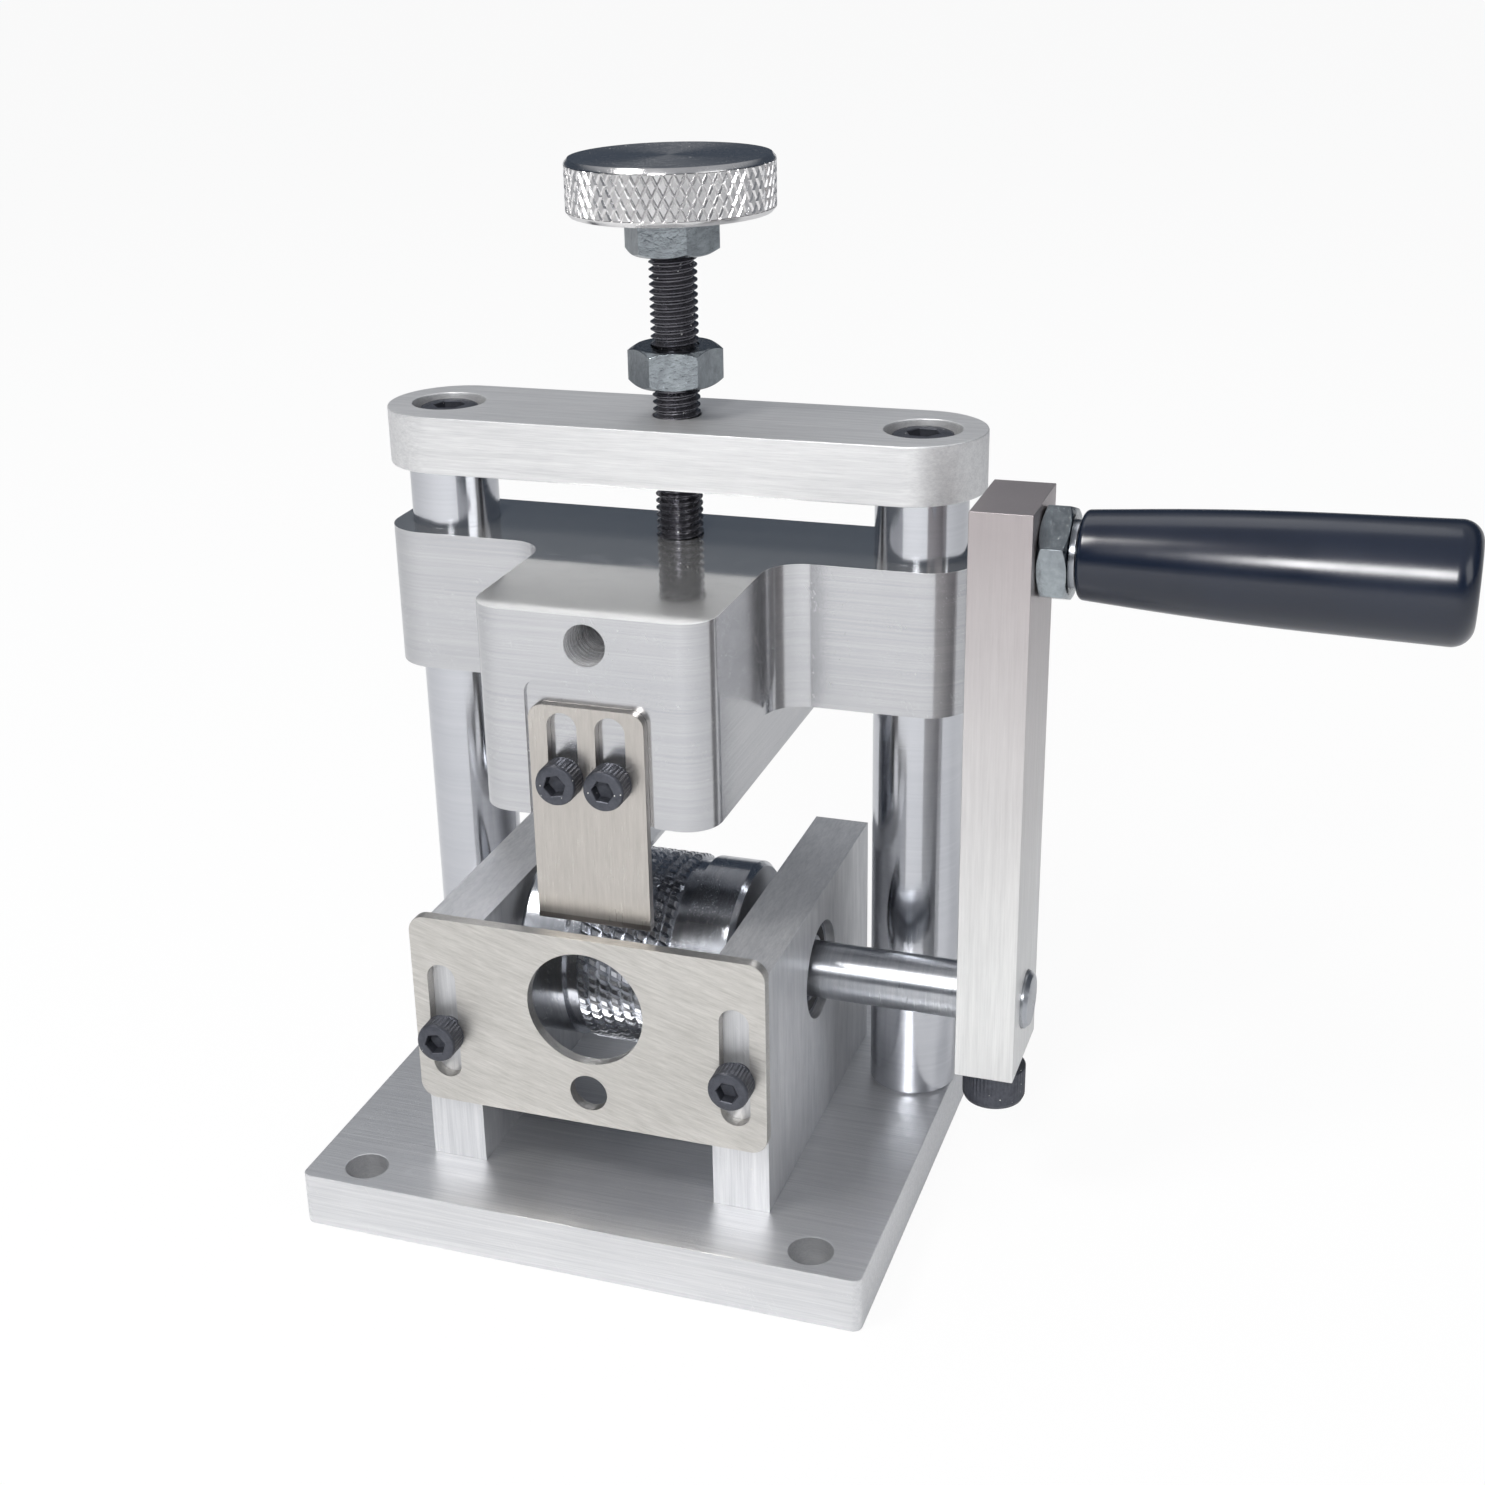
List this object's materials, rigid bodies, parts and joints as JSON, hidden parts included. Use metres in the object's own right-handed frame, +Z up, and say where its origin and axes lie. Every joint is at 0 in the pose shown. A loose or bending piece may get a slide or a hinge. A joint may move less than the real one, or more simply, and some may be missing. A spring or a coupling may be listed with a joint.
{
  "type": "hand crank wire stripper",
  "caption": "Bench-top hand crank wire stripper: knurled feed roller on a cranked shaft, slotted inlet baffle, and a screw-adjusted blade carriage on guide posts.",
  "frame": {"origin": "centre of the base plate's underside, which is the centre of its four fixing holes, straight below the roller's axis", "axes": "+X towards the crank, +Y towards the guide posts at the back, +Z up"},
  "size_m": [0.2229, 0.108, 0.2122],
  "materials": {
    "milled_aluminium": "milled and brushed",
    "turned_aluminium": "turned, diamond knurled rim",
    "ground_steel": "ground and polished",
    "stainless_sheet": "fine brushed sheet",
    "black_oxide_steel": "black oxide",
    "zinc_steel": "blue zinc plated",
    "bearing_steel": "ground",
    "seal_rubber": "moulded",
    "tool_steel": "ground, hardened",
    "black_plastic": "glossy, moulded"
  },
  "bodies": {
    "frame": {"base_plate": "milled_aluminium", "side_plate_left": "milled_aluminium", "side_plate_right": "milled_aluminium", "side_plate_screws": "black_oxide_steel", "bearing_outer_ring_left": "bearing_steel", "bearing_outer_ring_right": "bearing_steel", "bearing_shields_left": "seal_rubber", "bearing_shields_right": "seal_rubber", "guide_post_left": "ground_steel", "guide_post_right": "ground_steel", "post_base_screws": "black_oxide_steel", "top_bar": "milled_aluminium", "top_bar_screws": "black_oxide_steel", "baffle_screws": "black_oxide_steel"},
    "baffle": {"inlet_baffle": "stainless_sheet"},
    "carriage": {"carriage_block": "milled_aluminium", "blade": "tool_steel", "blade_clamp_screws": "black_oxide_steel", "screw_retainer": "black_oxide_steel", "restricting_plate_screws": "black_oxide_steel"},
    "restrictor": {"restricting_plate": "stainless_sheet"},
    "adjuster": {"adjusting_screw": "black_oxide_steel", "jam_nut": "zinc_steel", "knob": "turned_aluminium"},
    "lock_nut": {"lock_nut": "zinc_steel"},
    "crank": {"roller": "ground_steel", "roller_set_screws": "black_oxide_steel", "drive_shaft": "ground_steel", "bearing_inner_ring_left": "bearing_steel", "bearing_inner_ring_right": "bearing_steel", "bearing_balls_left": "bearing_steel", "bearing_balls_right": "bearing_steel", "crank_arm": "milled_aluminium", "crank_clamp_screw": "black_oxide_steel", "handle_stud": "zinc_steel", "handle_nut": "zinc_steel", "grip_ring": "bearing_steel"},
    "grip": {"grip": "black_plastic"}
  },
  "joints": [
    {"name": "baffle_slide", "type": "slide", "parent": "frame", "child": "baffle", "axis": [0, 0, 1], "range_m": [-0.0126, 0.0073]},
    {"name": "carriage_slide", "type": "slide", "parent": "frame", "child": "carriage", "axis": [0, 0, 1], "range_m": [-0.0022, 0.0132]},
    {"name": "restrictor_slide", "type": "slide", "parent": "carriage", "child": "restrictor", "axis": [0, 0, 1], "range_m": [-0.01, 0]},
    {"name": "screw_turn", "type": "hinge", "parent": "carriage", "child": "adjuster", "pos_m": [0, 0.0235, 0.2], "axis": [0, 0, 1], "range_deg": [-528.01, 3168.01]},
    {"name": "lock_nut_run", "type": "slide", "parent": "adjuster", "child": "lock_nut", "axis": [0, 0, 1], "range_m": [-0.004, 0.018]},
    {"name": "crank_spin", "type": "hinge", "parent": "frame", "child": "crank", "pos_m": [0, 0, 0.0485], "axis": [1, 0, 0], "continuous": true},
    {"name": "grip_spin", "type": "hinge", "parent": "crank", "child": "grip", "pos_m": [0.1, 0, 0.1441], "axis": [1, 0, 0], "continuous": true}
  ],
  "couplings": [
    {"joint": "screw_turn", "follows": "carriage_slide", "rad_per_m": 4188.8}
  ]
}
